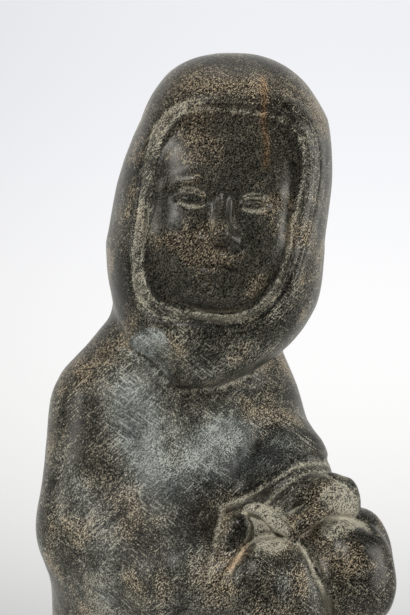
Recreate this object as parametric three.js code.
// A hunter in a hooded parka, carved in the round from one block of soapstone:
// a large smooth hood with the face let into it, both mittened hands held
// together in front on one side, a plain coat, short legs, boots and a low base.
// Millimetres, +Z up. The face looks along -Y, the body is turned a little to +X,
// and the origin is on the underside, below the figure.
//
// The stone is one implicit form: every mass is a signed function of a point,
// negative inside, and the masses are joined and cut with rounded minimum and
// maximum functions. The surface is drawn on a grid of tetrahedra, each vertex is
// moved on to the form, and the mesh is thinned where the stone is plain.
import * as THREE from 'three';

// ---------------------------------------------------------------- dimensions
const STEP = 2.5;                 // grid step the surface is drawn on
const TARGET_TRIANGLES = 9400;    // what the thinned surface keeps
const FINE = { halfWidth: 25, low: -36, high: 20, behind: -14, weight: 12 };   // the part of the face drawn finer
const BOX = { min: [-90, -92, -6], max: [88, 84, 366] };
const UNDERSIDE_EDGE = 5;         // rounding where the base meets the ground

const HOOD = {
  widest: 278, up: 77, down: 58,          // height of the widest ring, rise and drop from it
  halfWidth: 44.6, front: 52, back: 46,
  leanX: 0.155, leanTop: 50, leanBack: 0.05, leanX0: 0.2,
  swingFrom: 258, swingX: 0.0095, swingY: 0.017, leanY: 0.06, y0: 5,
  roundLow: 2.25, roundHigh: 2.55, roundFrom: -15, roundTo: 30,
  frontOut: 1.0, frontBow: 0.0010, frontSoft: 9,
};
const JAW_FACET = { at: [-23.5, -35.2, 238.4], normal: [-0.62, -0.72, -0.31], soft: 1.0 };
const OPENING = { at: [5.5, -41, 291.5], halfWidth: 33.5, halfHeight: 45.2, up: 0.8, flare: 0.06, round: 3.4,
  swing: 0.0625, swingFrom: 15, swingSoft: 144,         // the lower part swings toward -X
  floor: -8.5, floorSoft: 2, lean: 0.5, rim: 1.2 };     // lean: how far the wall slopes in, per mm of depth
const ROLLED_EDGE = { out: 2.6, width: 2.0, high: 1.1, fromX: 8, toX: 24, fromUp: -40, toUp: -24, behind: -16 };
const HEAD_TURN = { yaw: 4, pitch: 6, roll: 5 };   // degrees
const FACE = {
  behind: -26,                            // nothing of the face is felt behind this depth
  aside: -2.5,                            // where its middle line stands in the opening
  mask: { half: [33.5, 44, 21], back: -24, down: 0.5, taper: 0.11, over: 40, outline: 3.0, round: 2.6, join: 1.5 },
  socket: { at: [12.6, 4.8, 2.6], r: [9, 4.6, 7.2], soft: 5 },
  brow: { line: [[2.4, 10.4, -4.9], [11, 12.6, -5.4], [21, 9.6, -8.4]], r: [2.3, 2.5, 2.0], soft: 4.5 },
  lid: { at: [12.6, 4.4, -6.6], r: [6.8, 3.4, 4.4], soft: 1 },
  cheek: { at: [14.5, -9.5, -10.2], r: [11, 11, 7.2], soft: 8 },
  bridge: { line: [[0, 11, -5.2], [0, 1, -2.4], [0, -8.6, 0.9]], r: [2.3, 2.8, 3.9], soft: 2 },
  wing: { at: [4.5, -9.9, -2.4], r: [2.7, 2.7, 3.2], soft: 2 },
  muzzle: { at: [0, -21.5, -8.2], r: [16, 10.5, 6], soft: 9 },
  upperLip: { line: [[0, -19.5, -1.9], [4.5, -19.7, -2.6], [9.6, -21.4, -5.0]], r: [2.2, 2.0, 0.9] },
  lowerLip: { line: [[0, -23.9, -2.0], [4.5, -23.4, -2.7], [8.6, -22.2, -4.8]], r: [2.3, 2.0, 0.9] },
  lips: { seam: 0.4, soft: 1.4 },
  philtrum: { down: -15.6, width: 1.5, height: 2.0, deep: 0.9 },
  chin: { at: [0, -31, -8], r: [14, 7, 6.5], soft: 7 },
};

const BODY_YAW = 30;              // degrees the body is turned toward +X
const BODY_AXIS = [-9, 6];        // the trunk's axis in plan
const TRUNK = { at: 165, half: [48, 92, 42], round: 2.4 };
const COAT = { halfWidth: 57, halfDepth: 50, narrowX: 0.085, narrowY: 0.075, from: 75, hem: 70, top: 158,
  round: 2.3, hemEdge: 12, topEdge: 30, join: 34 };
const CHEST = { at: [-5, -12, 178], r: [40, 36, 38], join: 14 };
const RIGHT_ARM = { upper: [[-13, 8, 239, 26.5], [-38, -4, 209, 29.5], [-44.5, -14, 165, 27]],
  fore: [[-44, -14, 164, 26.5], [-12, -42, 148, 25], [16, -54, 147, 17]], elbow: 6, join: 12 };
const LEFT_ARM = { upper: [[4, 8, 213, 21], [27, -17, 188.5, 19.5], [35.5, -32, 174, 16.5], [44, -40, 160, 17]],
  under: [[6, 8, 205, 20], [30, 6, 158, 22]], fill: 10, join: 9 };

const MITTS = {
  cuff: { at: [46, -43, 177.5], r: [13, 13, 8], yaw: 32, roll: 20, join: 2 },
  palm: { at: [20, -47, 164], r: [23, 13, 17], join: 5 },
  between: { at: [32, -43, 156], r: [22, 16, 20], join: 2 },
  crease: { at: [38, -50, 152], r: [12, 12, 16], join: 2 },
  near: { at: [22.5, -57, 143.5], r: [21, 23.5, 18.5], yaw: 16, pitch: 6, roll: -6, round: 2.5 },
  far: { at: [53, -43, 149], r: [16, 21.5, 18.5], yaw: 36, pitch: 8, roll: -4, round: 2.5 },
  farBack: { at: [54, -35, 152], r: [16, 22.5, 15], join: 1.2, round: 2.7 },
  pairJoin: 3.2, join: 2.4, joinBelow: 9, belowFrom: 140, belowTo: 122,
  thumb: { line: [[3.2, -53, 136, 6], [3.4, -56.5, 154, 6.6], [9.4, -60, 171, 5]], join: 1.2 },
  hollow: { at: [21.5, -68, 170.5], r: [7, 8, 5], roll: -30, soft: 1.6 },
  farHollow: { at: [28, -65, 180], r: [6.5, 7.5, 4.6], yaw: 20, roll: 40, soft: 1.6 },
  ridge: { line: [[12.5, -58, 178, 2.4], [19, -59.5, 176.5, 3], [25, -61.5, 170.5, 3.2], [31, -62, 165, 2.6]], join: 1.4 },
  farThumb: { line: [[30.5, -60.5, 167.5, 2.6], [35, -61, 172, 4.4], [41, -57.5, 177, 3.6]], join: 1 },
  knob: { at: [35.5, -49.5, 180.5], r: [6, 4.6, 3.6], yaw: 24, roll: 40, join: 2.5 },
};
// lines cut in the front, each through a few [x, z] places; width, depth, fade at the ends
const CUTS = [
  { line: [[-2.6, 146], [-2.6, 153.5], [-1.7, 159.2], [0, 165], [1.4, 171.2], [3.2, 176.8], [11, 179.4], [17.8, 183],
    [23.6, 186.3], [28.9, 190], [34.8, 191.9], [40.4, 192.1], [46, 191], [51.3, 187.5], [55, 183]], width: 2.8, depth: 1.6, fade: 0.12 },
  { line: [[13, 176.6], [19.3, 178.4], [25.6, 182.6], [30.9, 186.8], [36, 189], [41.5, 189.3], [47, 187.4], [52, 184],
    [57, 178.5]],
    width: 2.2, depth: 0.8, fade: 0.15 },
  { line: [[1, 148], [5.5, 154.5], [9.4, 160.4], [12, 163.6], [16, 165.8], [21.2, 167.2], [26.3, 166.6], [31.5, 164.6],
    [35.4, 160], [38.5, 153], [42, 146.5], [44.5, 139], [46, 128]], width: 2.8, depth: 1.5, fade: 0.12 },
  { line: [[34.5, 163], [36.8, 166.8], [40, 170.6], [45, 172.6], [52, 172], [58.5, 169], [63.5, 165]],
    width: 2.6, depth: 1.6, fade: 0.15 },
  { line: [[-38, 222], [-31, 208], [-22, 195], [-12, 185], [-2, 178]], width: 7, depth: 3.4, fade: 0.35 },
  { line: [[0, 178], [10.5, 193], [19, 202], [28, 212]], width: 6, depth: 4, fade: 0.4 },
  { line: [[-1, 182], [6, 182]], width: 6, depth: 2.0, fade: 0 },
  { line: [[-58, 190], [-48, 168]], width: 7, depth: 1.5, fade: 0.3 },
];
const CUT_FRONT = { from: -8, full: -24 };   // the cuts fade out behind this depth

const LEGS = { apartTop: 25, apartBottom: 26, top: 84, bottom: 34, back: -2, rTop: 27, rBottom: 22 };
const WEB = { half: [22, 44, 20], height: 48, back: -6, round: 3, join: 4 };
const BOOTS = { apart: 27, height: 28, ahead: 11, half: [21.5, 18.5, 39], round: 2.8, join: 5 };
const BASE = { half: [72, 63], at: [2, 8], top: 15, round: 2.6, draft: 0.15, draftFrom: 4, edge: 7,
  waves: [[0.018, 3, 0.6], [0.012, 5, 2.0]], roll: [1.2, 0.05, 1, 0.06], join: 5, coatJoin: 4 };
const NECK_JOIN = { front: 1.6, back: 17.6, from: -6, to: 34, groove: 0.7, grooveWidth: 1.6, fadeFrom: -6, fadeTo: -24 };

// heights between which each mass is worked out
const FELT = { trunk: [30], arms: [95, 290], mitts: [95, 206], mittsBack: -2, lower: [0, 125], head: [198], ground: 20 };

const STONE = { color: 0x33352f, roughness: 0.36, metalness: 0.0 };

// ------------------------------------------------------------ form functions
const rad = THREE.MathUtils.degToRad;
const hypot3 = (a, b, c) => Math.sqrt(a * a + b * b + c * c);
const smooth = (a, b, x) => {
  const t = Math.min(Math.max((x - a) / (b - a), 0), 1);
  return t * t * (3 - 2 * t);
};
function smin(a, b, k) {
  const h = Math.max(k - Math.abs(a - b), 0) / k;
  return Math.min(a, b) - h * h * k * 0.25;
}
const smax = (a, b, k) => -smin(-a, -b, k);

// A frame that faces -Y, turned by yaw toward +X, tipped up by pitch, its top
// leaning toward +X by roll: the rows are right, up and out.
function frameOf(yaw = 0, pitch = 0, roll = 0) {
  const [y, p, r] = [rad(yaw), rad(pitch), rad(roll)];
  const out = new THREE.Vector3(Math.sin(y) * Math.cos(p), -Math.cos(y) * Math.cos(p), Math.sin(p));
  const right = new THREE.Vector3(Math.cos(y), Math.sin(y), 0);
  const up = new THREE.Vector3().crossVectors(right, out.clone().negate());
  if (up.z < 0) up.negate();
  const rr = right.clone().multiplyScalar(Math.cos(r)).addScaledVector(up, -Math.sin(r));
  const uu = up.clone().multiplyScalar(Math.cos(r)).addScaledVector(right, Math.sin(r));
  return [rr.toArray(), uu.toArray(), out.toArray()];
}
const dot = (a, x, y, z) => a[0] * x + a[1] * y + a[2] * z;
function local(p, at, frame) {
  const [x, y, z] = [p[0] - at[0], p[1] - at[1], p[2] - at[2]];
  if (!frame) return [x, y, z];
  return [dot(frame[0], x, y, z), dot(frame[1], x, y, z), dot(frame[2], x, y, z)];
}
function ellipsoid(p, at, r, frame) {
  const q = local(p, at, frame);
  const k0 = hypot3(q[0] / r[0], q[1] / r[1], q[2] / r[2]);
  const k1 = hypot3(q[0] / (r[0] * r[0]), q[1] / (r[1] * r[1]), q[2] / (r[2] * r[2]));
  return k0 * (k0 - 1) / Math.max(k1, 1e-6);
}
function superEllipsoid(q, r, n) {
  const s = (Math.abs(q[0] / r[0]) ** n + Math.abs(q[1] / r[1]) ** n + Math.abs(q[2] / r[2]) ** n) ** (1 / n);
  return (s - 1) * hypot3(q[0], q[1], q[2]) / Math.max(s, 1e-6);
}
// A round-ended cone between two points, each [x, y, z, radius].
function cone(p, a, b) {
  const ab = [b[0] - a[0], b[1] - a[1], b[2] - a[2]];
  const ap = [p[0] - a[0], p[1] - a[1], p[2] - a[2]];
  const t = Math.min(Math.max(dot(ap, ...ab) / dot(ab, ...ab), 0), 1);
  return hypot3(ap[0] - t * ab[0], ap[1] - t * ab[1], ap[2] - t * ab[2]) - (a[3] + (b[3] - a[3]) * t);
}
function limb(p, line) {
  let d = Infinity;
  for (let i = 0; i + 1 < line.length; i++) d = Math.min(d, cone(p, line[i], line[i + 1]));
  return d;
}
const withRadii = (part) => part.line.map((q, i) => [...q, part.r[i]]);

// A line through a few places on the front, as short straight pieces with the
// distance run so far.
function route(line) {
  const curve = new THREE.CatmullRomCurve3(line.map(([x, z]) => new THREE.Vector3(x, 0, z)), false, 'catmullrom', 0.5);
  const pts = line.length > 2 ? curve.getPoints(3 * (line.length - 1)).map((v) => [v.x, v.z]) : line;
  const run = [0];
  for (let i = 1; i < pts.length; i++) run.push(run[i - 1] + Math.hypot(pts[i][0] - pts[i - 1][0], pts[i][1] - pts[i - 1][1]));
  const xs = pts.map((q) => q[0]), zs = pts.map((q) => q[1]);
  return { pts, run, length: run[run.length - 1],
    box: [Math.min(...xs), Math.max(...xs), Math.min(...zs), Math.max(...zs)] };
}
const CUT_ROUTES = CUTS.map((cut) => ({ ...cut, ...route(cut.line) }));
const REACH = 2.2;                // a cut is felt this many widths from its line

function carved(p) {
  const front = smooth(CUT_FRONT.from, CUT_FRONT.full, p[1]);
  if (front <= 0) return 0;
  let sum = 0;
  for (const cut of CUT_ROUTES) {
    const margin = cut.width * REACH;
    const [x0, x1, z0, z1] = cut.box;
    if (p[0] < x0 - margin || p[0] > x1 + margin || p[2] < z0 - margin || p[2] > z1 + margin) continue;
    let best = Infinity, place = 0;
    for (let i = 0; i + 1 < cut.pts.length; i++) {
      const [ax, az] = cut.pts[i], [bx, bz] = cut.pts[i + 1];
      const [ux, uz] = [bx - ax, bz - az];
      const t = Math.min(Math.max(((p[0] - ax) * ux + (p[2] - az) * uz) / (ux * ux + uz * uz), 0), 1);
      const d2 = (p[0] - ax - t * ux) ** 2 + (p[2] - az - t * uz) ** 2;
      if (d2 < best) {
        best = d2;
        place = (cut.run[i] + t * Math.hypot(ux, uz)) / cut.length;
      }
    }
    const fade = cut.fade > 0 ? smooth(0, cut.fade, place) * smooth(0, cut.fade, 1 - place) : 1;
    sum += cut.depth * Math.exp(-1.6 * best / (cut.width * cut.width)) * fade;
  }
  return sum * front;
}

// ------------------------------------------------------------------ the head
const HEAD = frameOf(HEAD_TURN.yaw, HEAD_TURN.pitch, HEAD_TURN.roll);
const FACET_N = new THREE.Vector3(...JAW_FACET.normal).normalize().toArray();
const BROW = withRadii(FACE.brow), BRIDGE = withRadii(FACE.bridge);
const UPPER_LIP = withRadii(FACE.upperLip), LOWER_LIP = withRadii(FACE.lowerLip);

function hoodShell(p) {
  const dz = p[2] - HOOD.widest;
  const low = Math.max(0, HOOD.swingFrom - p[2]);
  const cx = HOOD.leanX0 + HOOD.leanX * Math.min(Math.max(dz, 0), HOOD.leanTop)
    - HOOD.leanBack * Math.max(dz - HOOD.leanTop, 0) - HOOD.swingX * low * low;
  const cy = HOOD.y0 + HOOD.leanY * dz - HOOD.swingY * low * low;
  const [x, y] = [p[0] - cx, p[1] - cy];
  const n = HOOD.roundLow + (HOOD.roundHigh - HOOD.roundLow) * smooth(HOOD.roundFrom, HOOD.roundTo, dz);
  return superEllipsoid([x, y, dz], [HOOD.halfWidth, y < 0 ? HOOD.front : HOOD.back, dz > 0 ? HOOD.up : HOOD.down], n);
}
function openingOutline(u, v) {
  const wide = OPENING.halfWidth * (1 + OPENING.flare * v / OPENING.halfHeight);
  const below = OPENING.swingFrom - v;
  const [x, y] = [u + OPENING.swing * (below + Math.sqrt(below * below + OPENING.swingSoft)), v - OPENING.up];
  const n = OPENING.round;
  const s = (Math.abs(x / wide) ** n + Math.abs(y / OPENING.halfHeight) ** n) ** (1 / n);
  return (s - 1) * Math.hypot(x, y) / Math.max(s, 1e-6);
}
function face(at) {
  const q = [at[0] - FACE.aside, at[1], at[2]];
  const [u, v, w] = q;
  const m = [Math.abs(u), v, w];
  const k = FACE.mask;
  const taper = 1 + k.taper * v / k.over;
  const flat = (Math.abs(u / taper / k.half[0]) ** k.outline + Math.abs((v + k.down) / k.half[1]) ** k.outline) ** (k.round / k.outline);
  const s = (flat + Math.abs((w - k.back) / k.half[2]) ** k.round) ** (1 / k.round);
  let d = (s - 1) * hypot3(u, v, w - k.back) / Math.max(s, 1e-6);
  d = smax(d, -ellipsoid(m, FACE.socket.at, FACE.socket.r), FACE.socket.soft);
  d = smin(d, limb(m, BROW), FACE.brow.soft);
  d = smin(d, ellipsoid(m, FACE.lid.at, FACE.lid.r), FACE.lid.soft);
  d = smin(d, ellipsoid(m, FACE.cheek.at, FACE.cheek.r), FACE.cheek.soft);
  const nose = smin(limb(q, BRIDGE), ellipsoid(m, FACE.wing.at, FACE.wing.r), FACE.wing.soft);
  d = smin(d, nose, FACE.bridge.soft);
  d = smin(d, ellipsoid(q, FACE.muzzle.at, FACE.muzzle.r), FACE.muzzle.soft);
  d = smin(d, smin(limb(m, UPPER_LIP), limb(m, LOWER_LIP), FACE.lips.seam), FACE.lips.soft);
  const f = FACE.philtrum;
  d += f.deep * Math.exp(-((u / f.width) ** 2 + ((v - f.down) / f.height) ** 2));
  return smin(d, ellipsoid(q, FACE.chin.at, FACE.chin.r), FACE.chin.soft);
}
function head(p) {
  const q = local(p, OPENING.at, HEAD);
  let d = hoodShell(p);
  d = smax(d, q[2] - HOOD.frontOut + HOOD.frontBow * q[0] * q[0], HOOD.frontSoft);
  d = smax(d, dot(FACET_N, ...local(p, JAW_FACET.at)), JAW_FACET.soft);
  const edge = openingOutline(q[0], q[1]);
  const rolled = ROLLED_EDGE;
  if (q[2] > rolled.behind) {
    d -= rolled.high * Math.exp(-(((edge - rolled.out) / rolled.width) ** 2))
      * smooth(rolled.fromX, rolled.toX, q[0]) * smooth(rolled.fromUp, rolled.toUp, q[1]);
  }
  const wall = edge + OPENING.lean * Math.min(Math.max(-q[2], 0), -OPENING.floor);
  d = smax(d, -smax(wall, OPENING.floor - q[2], OPENING.floorSoft), OPENING.rim);
  return q[2] > FACE.behind ? smin(d, face(q), FACE.mask.join) : d;
}

// ------------------------------------------------------------------ the body
const BODY = frameOf(BODY_YAW);
const NEAR = frameOf(MITTS.near.yaw, MITTS.near.pitch, MITTS.near.roll);
const FAR = frameOf(MITTS.far.yaw, MITTS.far.pitch, MITTS.far.roll);
const CUFF = frameOf(MITTS.cuff.yaw, 0, MITTS.cuff.roll);
const HOLLOW = frameOf(0, 0, MITTS.hollow.roll);
const FAR_HOLLOW = frameOf(MITTS.farHollow.yaw, 0, MITTS.farHollow.roll);
const KNOB = frameOf(MITTS.knob.yaw, 0, MITTS.knob.roll);
const inBody = (p, height) => local(p, [BODY_AXIS[0], BODY_AXIS[1], height], BODY);

function trunk(p) {
  const q = inBody(p, TRUNK.at);
  const upper = superEllipsoid(q, TRUNK.half, TRUNK.round);
  const a = COAT.halfWidth - COAT.narrowX * (p[2] - COAT.from);
  const b = COAT.halfDepth - COAT.narrowY * (p[2] - COAT.from);
  const s = (Math.abs(q[0] / a) ** COAT.round + Math.abs(q[2] / b) ** COAT.round) ** (1 / COAT.round);
  const side = (s - 1) * Math.hypot(q[0], q[2]) / Math.max(s, 1e-6);
  const coat = smax(smax(side, COAT.hem - p[2], COAT.hemEdge), p[2] - COAT.top, COAT.topEdge);
  return smin(upper, coat, COAT.join);
}
function mitts(p, body) {
  const m = MITTS;
  let d = smin(body, ellipsoid(p, m.cuff.at, m.cuff.r, CUFF), m.cuff.join);
  d = smin(d, ellipsoid(p, m.palm.at, m.palm.r), m.palm.join);
  d = smin(d, ellipsoid(p, m.between.at, m.between.r), m.between.join);
  d = smin(d, ellipsoid(p, m.crease.at, m.crease.r), m.crease.join);
  const near = superEllipsoid(local(p, m.near.at, NEAR), m.near.r, m.near.round);
  const far = smin(superEllipsoid(local(p, m.far.at, FAR), m.far.r, m.far.round),
    superEllipsoid(local(p, m.farBack.at, FAR), m.farBack.r, m.farBack.round), m.farBack.join);
  d = smin(d, smin(near, far, m.pairJoin), m.join + m.joinBelow * smooth(m.belowFrom, m.belowTo, p[2]));
  d = smin(d, limb(p, m.thumb.line), m.thumb.join);
  d = smax(d, -ellipsoid(p, m.hollow.at, m.hollow.r, HOLLOW), m.hollow.soft);
  d = smax(d, -ellipsoid(p, m.farHollow.at, m.farHollow.r, FAR_HOLLOW), m.farHollow.soft);
  d = smin(d, limb(p, m.ridge.line), m.ridge.join);
  d = smin(d, limb(p, m.farThumb.line), m.farThumb.join);
  return smin(d, ellipsoid(p, m.knob.at, m.knob.r, KNOB), m.knob.join);
}
function lower(p) {
  const [r, u, o] = inBody(p, 0);
  const m = [Math.abs(r), u, o];
  const leg = cone(m, [LEGS.apartTop, LEGS.top, LEGS.back, LEGS.rTop], [LEGS.apartBottom, LEGS.bottom, 0, LEGS.rBottom]);
  const boot = superEllipsoid(local(m, [BOOTS.apart, BOOTS.height, BOOTS.ahead]), BOOTS.half, BOOTS.round);
  const web = superEllipsoid([r, u - WEB.height, o - WEB.back], WEB.half, WEB.round);
  return smin(smin(leg, boot, BOOTS.join), web, WEB.join);
}
function base(p) {
  const q = inBody(p, 0);
  const [r, u, o] = [q[0] - BASE.at[0], q[1], q[2] - BASE.at[1]];
  const turn = Math.atan2(o, r);
  let w = 1;
  for (const [size, lobes, phase] of BASE.waves) w += size * Math.sin(lobes * turn + phase);
  const n = BASE.round;
  const s = (Math.abs(r / (BASE.half[0] * w)) ** n + Math.abs(o / (BASE.half[1] * w)) ** n) ** (1 / n);
  const side = (s - 1) * Math.hypot(r, o) / Math.max(s, 1e-6);
  const [rise, fr, phase, fo] = BASE.roll;
  const top = u - BASE.top - rise * Math.sin(r * fr + phase) * Math.cos(o * fo);
  return smax(side + BASE.draft * Math.max(u - BASE.draftFrom, 0), top, BASE.edge);
}
// The whole figure. A mass is only worked out at heights where it can be felt.
function form(p) {
  const z = p[2];
  let d = z > FELT.trunk[0] ? trunk(p) : Infinity;
  if (z > FELT.arms[0] && z < FELT.arms[1]) {
    d = smin(d, ellipsoid(p, CHEST.at, CHEST.r), CHEST.join);
    d = smin(d, smin(limb(p, RIGHT_ARM.upper), limb(p, RIGHT_ARM.fore), RIGHT_ARM.elbow), RIGHT_ARM.join);
    d = smin(d, smin(limb(p, LEFT_ARM.upper), limb(p, LEFT_ARM.under), LEFT_ARM.fill), LEFT_ARM.join);
    if (z < FELT.mitts[1] && p[1] < FELT.mittsBack) d = mitts(p, d);
    d += carved(p);
  }
  if (z < FELT.lower[1]) d = smin(d, smin(lower(p), base(p), BASE.join), BASE.coatJoin);
  if (z > FELT.head[0]) {
    const n = NECK_JOIN, hood = head(p);
    const groove = n.groove * Math.exp(-(((hood - d) / n.grooveWidth) ** 2)) * smooth(n.fadeFrom, n.fadeTo, p[1]);
    d = smin(d, hood, n.front + (n.back - n.front) * smooth(n.from, n.to, p[1])) + groove;
  }
  return z < FELT.ground ? smax(d, -z, UNDERSIDE_EDGE) : d;
}

// --------------------------------------------------------------- the surface
const BLOCK_REACH = 1.5;          // how far from a block's middle the surface may still cross it, in blocks

// Each grid cube is cut into six tetrahedra that agree with their neighbours'
// cuts, so the surface through them is always closed.
function surface(fn, step, box) {
  const n = [0, 1, 2].map((i) => Math.ceil((box.max[i] - box.min[i]) / step) + 1);
  const at = (i, j, k) => (i * n[1] + j) * n[2] + k;
  const value = new Float64Array(n[0] * n[1] * n[2]);
  // The form is first tried at the middle of blocks of cells. A block the surface
  // can't reach takes that one value all over.
  const size = 4;
  for (let i = 0; i < n[0]; i += size) for (let j = 0; j < n[1]; j += size) for (let k = 0; k < n[2]; k += size) {
    const middle = fn([i, j, k].map((m, a) => box.min[a] + (m + (size - 1) / 2) * step));
    const near = Math.abs(middle) < BLOCK_REACH * size * step;
    for (let a = i; a < Math.min(i + size, n[0]); a++) for (let b = j; b < Math.min(j + size, n[1]); b++) {
      for (let c = k; c < Math.min(k + size, n[2]); c++) {
        const v = near ? fn([box.min[0] + a * step, box.min[1] + b * step, box.min[2] + c * step]) : middle;
        value[at(a, b, c)] = v || 1e-9;
      }
    }
  }
  const point = (id) => {
    const k = id % n[2], j = Math.floor(id / n[2]) % n[1], i = Math.floor(id / (n[1] * n[2]));
    return [box.min[0] + i * step, box.min[1] + j * step, box.min[2] + k * step];
  };
  const paths = [[1, 2], [1, 4], [2, 1], [2, 4], [4, 1], [4, 2]];
  const vertices = [], faces = [], seen = new Map();
  const crossing = (a, b) => {
    const key = a < b ? a * value.length + b : b * value.length + a;
    if (seen.has(key)) return seen.get(key);
    const t = value[a] / (value[a] - value[b]);
    const [pa, pb] = [point(a), point(b)];
    vertices.push([0, 1, 2].map((i) => pa[i] + (pb[i] - pa[i]) * Math.min(Math.max(t, 0.02), 0.98)));
    seen.set(key, vertices.length - 1);
    return vertices.length - 1;
  };
  for (let i = 0; i + 1 < n[0]; i++) for (let j = 0; j + 1 < n[1]; j++) for (let k = 0; k + 1 < n[2]; k++) {
    const corner = (bits) => at(i + (bits & 1), j + ((bits >> 1) & 1), k + ((bits >> 2) & 1));
    let inside = 0;
    for (let bits = 0; bits < 8; bits++) inside += value[corner(bits)] < 0;
    if (inside === 0 || inside === 8) continue;
    for (const [p, q] of paths) {
      const tet = [corner(0), corner(p), corner(p | q), corner(7)];
      const solid = tet.filter((id) => value[id] < 0);
      const open = tet.filter((id) => value[id] >= 0);
      if (!solid.length || !open.length) continue;
      let tris;
      if (solid.length === 1) tris = [[crossing(solid[0], open[0]), crossing(solid[0], open[1]), crossing(solid[0], open[2])]];
      else if (solid.length === 3) tris = [[crossing(open[0], solid[0]), crossing(open[0], solid[1]), crossing(open[0], solid[2])]];
      else {
        const [a, b, c, d] = [crossing(solid[0], open[0]), crossing(solid[0], open[1]), crossing(solid[1], open[1]), crossing(solid[1], open[0])];
        tris = [[a, b, c], [a, c, d]];
      }
      // a triangle's outside is the side the open corners are on
      const out = open.map(point).reduce((s, v) => s.map((x, m) => x + v[m] / open.length), [0, 0, 0]);
      const core = solid.map(point).reduce((s, v) => s.map((x, m) => x + v[m] / solid.length), [0, 0, 0]);
      for (const t of tris) {
        const nrm = normalOf(vertices, t);
        if (dot(nrm, out[0] - core[0], out[1] - core[1], out[2] - core[2]) < 0) t.reverse();
        faces.push(t);
      }
    }
  }
  return { vertices, faces };
}
function normalOf(v, [a, b, c]) {
  const [A, B, C] = [v[a], v[b], v[c]];
  const e = [B[0] - A[0], B[1] - A[1], B[2] - A[2]], f = [C[0] - A[0], C[1] - A[1], C[2] - A[2]];
  return [e[1] * f[2] - e[2] * f[1], e[2] * f[0] - e[0] * f[2], e[0] * f[1] - e[1] * f[0]];
}
// Moves a point along the form's slope until it lies on the form.
function settle(p, rounds, most) {
  const e = 0.05;
  for (let i = 0; i < rounds; i++) {
    const d = form(p);
    const g = [0, 1, 2].map((m) => {
      const hi = [...p], lo = [...p];
      hi[m] += e; lo[m] -= e;
      return (form(hi) - form(lo)) / (2 * e);
    });
    const slope = Math.max(Math.hypot(...g), 0.3);
    const move = Math.min(Math.max(d / slope, -most), most) / slope;
    for (let m = 0; m < 3; m++) p[m] -= move * g[m];
    if (p[2] < 0.02) p[2] = 0;
  }
  return p;
}

// Cuts every edge with both ends in the wanted places at its middle.
function divide({ vertices, faces }, wanted) {
  const [chosen, count, middles, parts] = [vertices.map(wanted), vertices.length, new Map(), []];
  const middle = (a, b) => {
    const key = Math.min(a, b) * count + Math.max(a, b);
    if (!middles.has(key)) {
      middles.set(key, vertices.length);
      vertices.push(settle(vertices[a].map((x, m) => (x + vertices[b][m]) / 2), 2, STEP));
    }
    return middles.get(key);
  };
  for (const f of faces) {
    const inside = f.filter((v) => chosen[v]).length;
    if (inside < 2) { parts.push(f); continue; }
    if (inside === 2) {
      const out = f.findIndex((v) => !chosen[v]);
      const [c, a, b] = [f[out], f[(out + 1) % 3], f[(out + 2) % 3]];
      const ab = middle(a, b);
      parts.push([a, ab, c], [ab, b, c]);
      continue;
    }
    const [a, b, c] = f;
    const [ab, bc, ca] = [middle(a, b), middle(b, c), middle(c, a)];
    parts.push([a, ab, ca], [ab, b, bc], [ca, bc, c], [ab, bc, ca]);
  }
  return { vertices, faces: parts };
}

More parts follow.
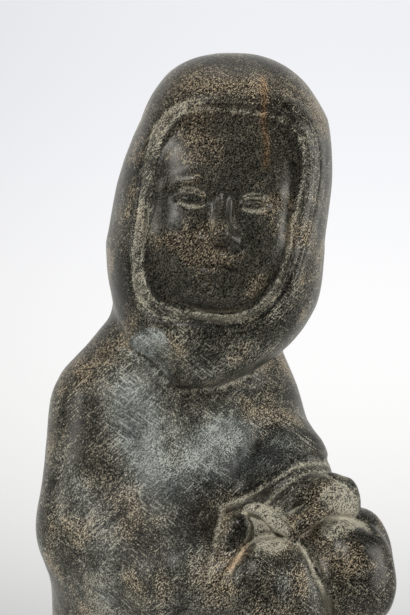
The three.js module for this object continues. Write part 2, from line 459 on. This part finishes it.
// Thins the mesh by joining the two ends of the edge that changes the shape
// least, over and over. A join that would fold or pinch the surface is skipped.
// A change in a kept place counts for more.
function thin({ vertices, faces }, target, kept) {
  const quadric = vertices.map(() => new Float64Array(10));
  const ring = vertices.map(() => new Set());
  faces.forEach((f, id) => {
    const n = normalOf(vertices, f);
    const area = Math.hypot(...n) || 1e-12;
    const [a, b, c] = n.map((x) => x / area);
    const w = area / 2 * (f.every((v) => kept(vertices[v])) ? FINE.weight : 1);
    const d = -dot([a, b, c], ...vertices[f[0]]);
    const q = [a * a, a * b, a * c, a * d, b * b, b * c, b * d, c * c, c * d, d * d];
    for (const v of f) {
      ring[v].add(id);
      for (let i = 0; i < 10; i++) quadric[v][i] += q[i] * w;
    }
  });
  const cost = (q, [x, y, z]) => q[0] * x * x + 2 * q[1] * x * y + 2 * q[2] * x * z + 2 * q[3] * x
    + q[4] * y * y + 2 * q[5] * y * z + 2 * q[6] * y + q[7] * z * z + 2 * q[8] * z + q[9];
  const stamp = new Int32Array(vertices.length);
  const heap = [];
  const push = (item) => {
    let i = heap.push(item) - 1;
    while (i > 0) {
      const up = (i - 1) >> 1;
      if (heap[up].cost <= heap[i].cost) break;
      [heap[up], heap[i]] = [heap[i], heap[up]];
      i = up;
    }
  };
  const pop = () => {
    const top = heap[0], last = heap.pop();
    if (heap.length) {
      heap[0] = last;
      for (let i = 0; ;) {
        const l = 2 * i + 1;
        if (l >= heap.length) break;
        const s = l + 1 < heap.length && heap[l + 1].cost < heap[l].cost ? l + 1 : l;
        if (heap[i].cost <= heap[s].cost) break;
        [heap[s], heap[i]] = [heap[i], heap[s]];
        i = s;
      }
    }
    return top;
  };
  const consider = (a, b) => {
    const q = quadric[a].map((x, i) => x + quadric[b][i]);
    const [A, B] = [vertices[a], vertices[b]];
    const tries = [A, B, A.map((x, i) => (x + B[i]) / 2)];
    const best = tries.reduce((m, t) => (cost(q, t) < cost(q, m) ? t : m));
    const length = Math.hypot(A[0] - B[0], A[1] - B[1], A[2] - B[2]);
    push({ a, b, to: [...best], cost: cost(q, best) + 1e-4 * length ** 3, sa: stamp[a], sb: stamp[b] });
  };
  const around = (v) => {
    const s = new Set();
    for (const f of ring[v]) for (const w of faces[f]) if (w !== v) s.add(w);
    return s;
  };
  faces.forEach((f) => f.forEach((a, i) => { const b = f[(i + 1) % 3]; if (a < b) consider(a, b); }));
  let count = faces.length;
  while (count > target && heap.length) {
    const { a, b, to, sa, sb } = pop();
    if (stamp[a] !== sa || stamp[b] !== sb || !ring[a].size || !ring[b].size) continue;
    const [na, nb] = [around(a), around(b)];
    let common = 0;
    for (const v of na) if (nb.has(v)) common++;
    if (common !== 2) continue;
    let folds = false;
    for (const v of [a, b]) {
      for (const f of ring[v]) {
        if (faces[f].includes(a) && faces[f].includes(b)) continue;
        const before = normalOf(vertices, faces[f]);
        const keep = vertices[v];
        vertices[v] = to;
        const after = normalOf(vertices, faces[f]);
        vertices[v] = keep;
        if (dot(before, ...after) < 0.3 * Math.hypot(...before) * Math.hypot(...after)) { folds = true; break; }
      }
      if (folds) break;
    }
    if (folds) continue;
    for (const f of [...ring[b]]) {
      if (faces[f].includes(a)) {
        for (const v of faces[f]) ring[v].delete(f);
        faces[f] = null;
        count--;
      } else {
        faces[f] = faces[f].map((v) => (v === b ? a : v));
        ring[a].add(f);
      }
    }
    ring[b].clear();
    vertices[a] = to;
    for (let i = 0; i < 10; i++) quadric[a][i] += quadric[b][i];
    stamp[a]++;
    stamp[b]++;
    for (const v of around(a)) consider(Math.min(a, v), Math.max(a, v));
  }
  return { vertices, faces: faces.filter(Boolean) };
}

const onFace = (p) => {
  const [u, v, w] = local(p, OPENING.at, HEAD);
  return Math.abs(u - FACE.aside) < FINE.halfWidth && v > FINE.low && v < FINE.high && w > FINE.behind;
};
const raw = surface(form, STEP, BOX);
for (const v of raw.vertices) settle(v, 2, STEP);
const fine = thin(divide(raw, onFace), TARGET_TRIANGLES, onFace);

const index = new Map();
const positions = [];
const triangles = [];
for (const f of fine.faces) {
  for (const v of f) {
    if (!index.has(v)) {
      index.set(v, positions.length / 3);
      positions.push(...fine.vertices[v]);
    }
    triangles.push(index.get(v));
  }
}
const geometry = new THREE.BufferGeometry();
geometry.setAttribute('position', new THREE.Float32BufferAttribute(positions, 3));
geometry.setIndex(triangles);
geometry.computeVertexNormals();

const carving = new THREE.Mesh(geometry, new THREE.MeshStandardMaterial(STONE));
carving.name = 'hunter_carving';
const group = new THREE.Group();
group.add(carving);
export default group;
